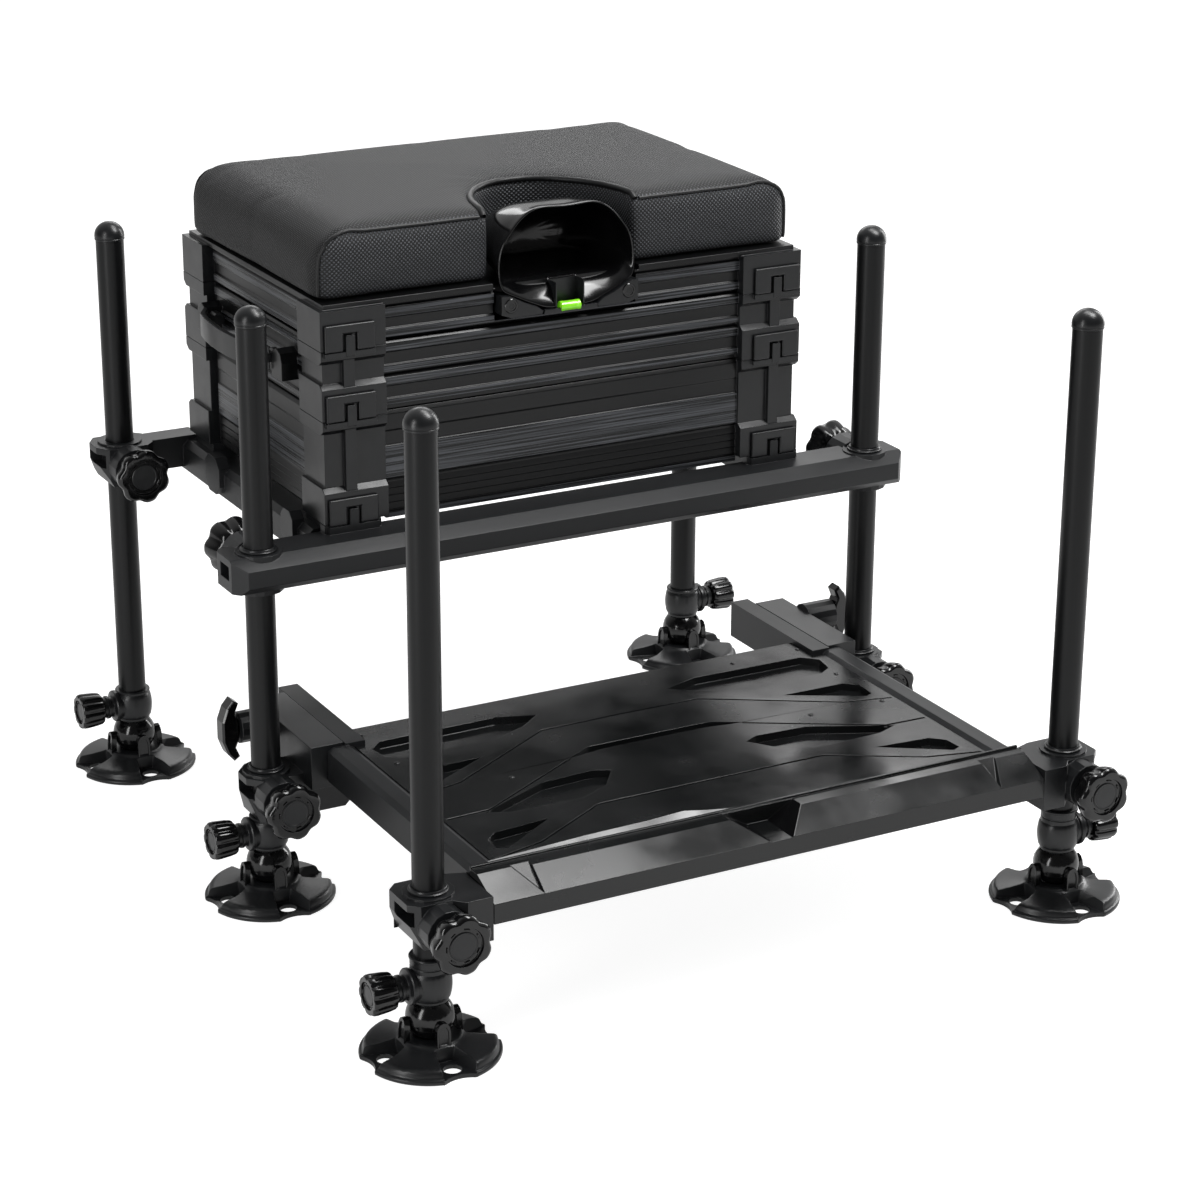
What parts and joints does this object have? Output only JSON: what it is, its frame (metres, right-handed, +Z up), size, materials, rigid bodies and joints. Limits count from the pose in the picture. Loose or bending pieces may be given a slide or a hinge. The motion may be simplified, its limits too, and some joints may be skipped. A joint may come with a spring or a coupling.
{
  "type": "fishing seat box",
  "caption": "Fishing seat box: padded seat over two stacked tackle trays, on a frame with telescopic legs, mud feet and a slide-out footplate.",
  "frame": {"origin": "on the ground under the middle of the outline", "axes": "+Z up, -Y the front with the footplate, +X the sitter's left"},
  "size_m": [0.705, 0.762, 0.571],
  "materials": {
    "painted_frame": "satin",
    "leg_tube": "satin",
    "black_plastic": "matte",
    "gloss_plastic": "gloss",
    "tray_shell": "satin",
    "seat_fabric": "matte",
    "vial_green": "gloss"
  },
  "bodies": {
    "chassis": {"front_bar": "painted_frame", "rear_bar": "painted_frame", "side_rail_left": "painted_frame", "side_rail_right": "painted_frame", "deep_tray": "tray_shell"},
    "shallow_tray": {"shallow_tray": "tray_shell"},
    "seat": {"seat_frame": "tray_shell", "seat_cushion": "seat_fabric", "hood": "gloss_plastic", "spirit_level": "vial_green"},
    "carriage": {"lower_clamp_left": "black_plastic", "lower_clamp_right": "black_plastic"},
    "footplate": {"footplate_deck": "painted_frame", "footplate_front_rail": "painted_frame", "footplate_side_rail_left": "painted_frame", "footplate_side_rail_right": "painted_frame", "front_leg_casting_left": "black_plastic", "front_leg_casting_right": "black_plastic"},
    "side_handle_left": {"side_handle_left": "black_plastic"},
    "side_handle_right": {"side_handle_right": "black_plastic"},
    "front_leg_left": {"front_leg_left": "leg_tube", "front_foot_sleeve_left": "black_plastic"},
    "front_leg_right": {"front_leg_right": "leg_tube", "front_foot_sleeve_right": "black_plastic"},
    "middle_leg_left": {"middle_leg_left": "leg_tube", "middle_foot_sleeve_left": "black_plastic"},
    "middle_leg_right": {"middle_leg_right": "leg_tube", "middle_foot_sleeve_right": "black_plastic"},
    "rear_leg_left": {"rear_leg_left": "leg_tube", "rear_foot_sleeve_left": "black_plastic"},
    "rear_leg_right": {"rear_leg_right": "leg_tube", "rear_foot_sleeve_right": "black_plastic"},
    "seat_latch_left": {"seat_latch_left": "black_plastic"},
    "seat_latch_right": {"seat_latch_right": "black_plastic"},
    "shallow_tray_latch_left": {"shallow_tray_latch_left": "black_plastic"},
    "shallow_tray_latch_right": {"shallow_tray_latch_right": "black_plastic"},
    "deep_tray_latch_left": {"deep_tray_latch_left": "black_plastic"},
    "deep_tray_latch_right": {"deep_tray_latch_right": "black_plastic"},
    "wing_screw_left": {"wing_screw_left": "gloss_plastic"},
    "wing_screw_right": {"wing_screw_right": "gloss_plastic"},
    "front_mud_foot_left": {"front_mud_foot_left": "black_plastic"},
    "front_mud_foot_right": {"front_mud_foot_right": "black_plastic"},
    "middle_mud_foot_left": {"middle_mud_foot_left": "black_plastic"},
    "middle_mud_foot_right": {"middle_mud_foot_right": "black_plastic"},
    "rear_mud_foot_left": {"rear_mud_foot_left": "black_plastic"},
    "rear_mud_foot_right": {"rear_mud_foot_right": "black_plastic"},
    "front_clamp_knob_left": {"front_clamp_knob_left": "gloss_plastic"},
    "front_clamp_knob_right": {"front_clamp_knob_right": "gloss_plastic"},
    "middle_upper_clamp_knob_left": {"middle_upper_clamp_knob_left": "gloss_plastic"},
    "middle_upper_clamp_knob_right": {"middle_upper_clamp_knob_right": "gloss_plastic"},
    "middle_lower_clamp_knob_left": {"middle_lower_clamp_knob_left": "gloss_plastic"},
    "middle_lower_clamp_knob_right": {"middle_lower_clamp_knob_right": "gloss_plastic"},
    "rear_clamp_knob_left": {"rear_clamp_knob_left": "gloss_plastic"},
    "rear_clamp_knob_right": {"rear_clamp_knob_right": "gloss_plastic"},
    "front_lock_knob_left": {"front_lock_knob_left": "gloss_plastic"},
    "front_lock_knob_right": {"front_lock_knob_right": "gloss_plastic"},
    "middle_lock_knob_left": {"middle_lock_knob_left": "gloss_plastic"},
    "middle_lock_knob_right": {"middle_lock_knob_right": "gloss_plastic"},
    "rear_lock_knob_left": {"rear_lock_knob_left": "gloss_plastic"},
    "rear_lock_knob_right": {"rear_lock_knob_right": "gloss_plastic"}
  },
  "joints": [
    {"name": "seat_hinge", "type": "hinge", "parent": "shallow_tray", "child": "seat", "pos_m": [0, 0.3255, 0.47], "axis": [-1, 0, 0], "range_deg": [0, 80]},
    {"name": "shallow_tray_hinge", "type": "hinge", "parent": "chassis", "child": "shallow_tray", "pos_m": [0, 0.3255, 0.41], "axis": [-1, 0, 0], "range_deg": [0, 60]},
    {"name": "footplate_slide", "type": "slide", "parent": "carriage", "child": "footplate", "axis": [0, -1, 0], "range_m": [0, 0.1]},
    {"name": "carriage_height", "type": "slide", "parent": "chassis", "child": "carriage", "axis": [0, 0, 1], "range_m": [0, 0.1]},
    {"name": "side_handle_left", "type": "hinge", "parent": "shallow_tray", "child": "side_handle_left", "pos_m": [-0.232, 0.172, 0.445], "axis": [0, -1, 0], "range_deg": [-60, 70]},
    {"name": "side_handle_right", "type": "hinge", "parent": "shallow_tray", "child": "side_handle_right", "pos_m": [0.232, 0.172, 0.445], "axis": [0, 1, 0], "range_deg": [-60, 70]},
    {"name": "front_leg_left", "type": "slide", "parent": "footplate", "child": "front_leg_left", "axis": [0, 0, 1], "range_m": [-0.35, 0.008]},
    {"name": "front_leg_right", "type": "slide", "parent": "footplate", "child": "front_leg_right", "axis": [0, 0, 1], "range_m": [-0.35, 0.008]},
    {"name": "middle_leg_left", "type": "slide", "parent": "chassis", "child": "middle_leg_left", "axis": [0, 0, 1], "range_m": [-0.185, 0]},
    {"name": "middle_leg_right", "type": "slide", "parent": "chassis", "child": "middle_leg_right", "axis": [0, 0, 1], "range_m": [-0.185, 0]},
    {"name": "rear_leg_left", "type": "slide", "parent": "chassis", "child": "rear_leg_left", "axis": [0, 0, 1], "range_m": [-0.185, 0.19]},
    {"name": "rear_leg_right", "type": "slide", "parent": "chassis", "child": "rear_leg_right", "axis": [0, 0, 1], "range_m": [-0.185, 0.19]},
    {"name": "seat_latch_left", "type": "hinge", "parent": "seat", "child": "seat_latch_left", "pos_m": [-0.2055, 0.0101, 0.492], "axis": [-1, 0, 0], "range_deg": [0, 60]},
    {"name": "seat_latch_right", "type": "hinge", "parent": "seat", "child": "seat_latch_right", "pos_m": [0.2055, 0.0101, 0.492], "axis": [-1, 0, 0], "range_deg": [0, 60]},
    {"name": "shallow_tray_latch_left", "type": "hinge", "parent": "shallow_tray", "child": "shallow_tray_latch_left", "pos_m": [-0.2055, 0.0101, 0.432], "axis": [-1, 0, 0], "range_deg": [0, 60]},
    {"name": "shallow_tray_latch_right", "type": "hinge", "parent": "shallow_tray", "child": "shallow_tray_latch_right", "pos_m": [0.2055, 0.0101, 0.432], "axis": [-1, 0, 0], "range_deg": [0, 60]},
    {"name": "deep_tray_latch_left", "type": "hinge", "parent": "chassis", "child": "deep_tray_latch_left", "pos_m": [-0.2055, 0.0101, 0.342], "axis": [-1, 0, 0], "range_deg": [0, 60]},
    {"name": "deep_tray_latch_right", "type": "hinge", "parent": "chassis", "child": "deep_tray_latch_right", "pos_m": [0.2055, 0.0101, 0.342], "axis": [-1, 0, 0], "range_deg": [0, 60]},
    {"name": "wing_screw_left", "type": "hinge", "parent": "carriage", "child": "wing_screw_left", "pos_m": [-0.3, 0.054, 0.136], "axis": [-1, 0, 0], "continuous": true},
    {"name": "wing_screw_right", "type": "hinge", "parent": "carriage", "child": "wing_screw_right", "pos_m": [0.3, 0.054, 0.136], "axis": [1, 0, 0], "continuous": true},
    {"name": "front_mud_foot_left", "type": "hinge", "parent": "front_leg_left", "child": "front_mud_foot_left", "pos_m": [-0.2965, -0.318, 0.032], "axis": [1, 0, 0], "range_deg": [-15, 15]},
    {"name": "front_mud_foot_right", "type": "hinge", "parent": "front_leg_right", "child": "front_mud_foot_right", "pos_m": [0.2965, -0.318, 0.032], "axis": [1, 0, 0], "range_deg": [-15, 15]},
    {"name": "middle_mud_foot_left", "type": "hinge", "parent": "middle_leg_left", "child": "middle_mud_foot_left", "pos_m": [-0.2965, 0, 0.032], "axis": [1, 0, 0], "range_deg": [-15, 15]},
    {"name": "middle_mud_foot_right", "type": "hinge", "parent": "middle_leg_right", "child": "middle_mud_foot_right", "pos_m": [0.2965, 0, 0.032], "axis": [1, 0, 0], "range_deg": [-15, 15]},
    {"name": "rear_mud_foot_left", "type": "hinge", "parent": "rear_leg_left", "child": "rear_mud_foot_left", "pos_m": [-0.2965, 0.325, 0.032], "axis": [1, 0, 0], "range_deg": [-15, 15]},
    {"name": "rear_mud_foot_right", "type": "hinge", "parent": "rear_leg_right", "child": "rear_mud_foot_right", "pos_m": [0.2965, 0.325, 0.032], "axis": [1, 0, 0], "range_deg": [-15, 15]},
    {"name": "front_clamp_knob_left", "type": "hinge", "parent": "footplate", "child": "front_clamp_knob_left", "pos_m": [-0.2965, -0.368, 0.1174], "axis": [0, -1, 0], "continuous": true},
    {"name": "front_clamp_knob_right", "type": "hinge", "parent": "footplate", "child": "front_clamp_knob_right", "pos_m": [0.2965, -0.368, 0.1174], "axis": [0, -1, 0], "continuous": true},
    {"name": "middle_upper_clamp_knob_left", "type": "hinge", "parent": "chassis", "child": "middle_upper_clamp_knob_left", "pos_m": [-0.2965, 0.05, 0.3], "axis": [0, 1, 0], "continuous": true},
    {"name": "middle_upper_clamp_knob_right", "type": "hinge", "parent": "chassis", "child": "middle_upper_clamp_knob_right", "pos_m": [0.2965, 0.05, 0.3], "axis": [0, 1, 0], "continuous": true},
    {"name": "middle_lower_clamp_knob_left", "type": "hinge", "parent": "carriage", "child": "middle_lower_clamp_knob_left", "pos_m": [-0.2965, -0.05, 0.1], "axis": [0, -1, 0], "continuous": true},
    {"name": "middle_lower_clamp_knob_right", "type": "hinge", "parent": "carriage", "child": "middle_lower_clamp_knob_right", "pos_m": [0.2965, -0.05, 0.1], "axis": [0, -1, 0], "continuous": true},
    {"name": "rear_clamp_knob_left", "type": "hinge", "parent": "chassis", "child": "rear_clamp_knob_left", "pos_m": [-0.2965, 0.275, 0.3], "axis": [0, -1, 0], "continuous": true},
    {"name": "rear_clamp_knob_right", "type": "hinge", "parent": "chassis", "child": "rear_clamp_knob_right", "pos_m": [0.2965, 0.275, 0.3], "axis": [0, -1, 0], "continuous": true},
    {"name": "front_lock_knob_left", "type": "hinge", "parent": "front_leg_left", "child": "front_lock_knob_left", "pos_m": [-0.3335, -0.318, 0.061], "axis": [-1, 0, 0], "continuous": true},
    {"name": "front_lock_knob_right", "type": "hinge", "parent": "front_leg_right", "child": "front_lock_knob_right", "pos_m": [0.3335, -0.318, 0.061], "axis": [1, 0, 0], "continuous": true},
    {"name": "middle_lock_knob_left", "type": "hinge", "parent": "middle_leg_left", "child": "middle_lock_knob_left", "pos_m": [-0.3335, 0, 0.061], "axis": [-1, 0, 0], "continuous": true},
    {"name": "middle_lock_knob_right", "type": "hinge", "parent": "middle_leg_right", "child": "middle_lock_knob_right", "pos_m": [0.3335, 0, 0.061], "axis": [1, 0, 0], "continuous": true},
    {"name": "rear_lock_knob_left", "type": "hinge", "parent": "rear_leg_left", "child": "rear_lock_knob_left", "pos_m": [-0.3335, 0.325, 0.061], "axis": [-1, 0, 0], "continuous": true},
    {"name": "rear_lock_knob_right", "type": "hinge", "parent": "rear_leg_right", "child": "rear_lock_knob_right", "pos_m": [0.3335, 0.325, 0.061], "axis": [1, 0, 0], "continuous": true}
  ]
}
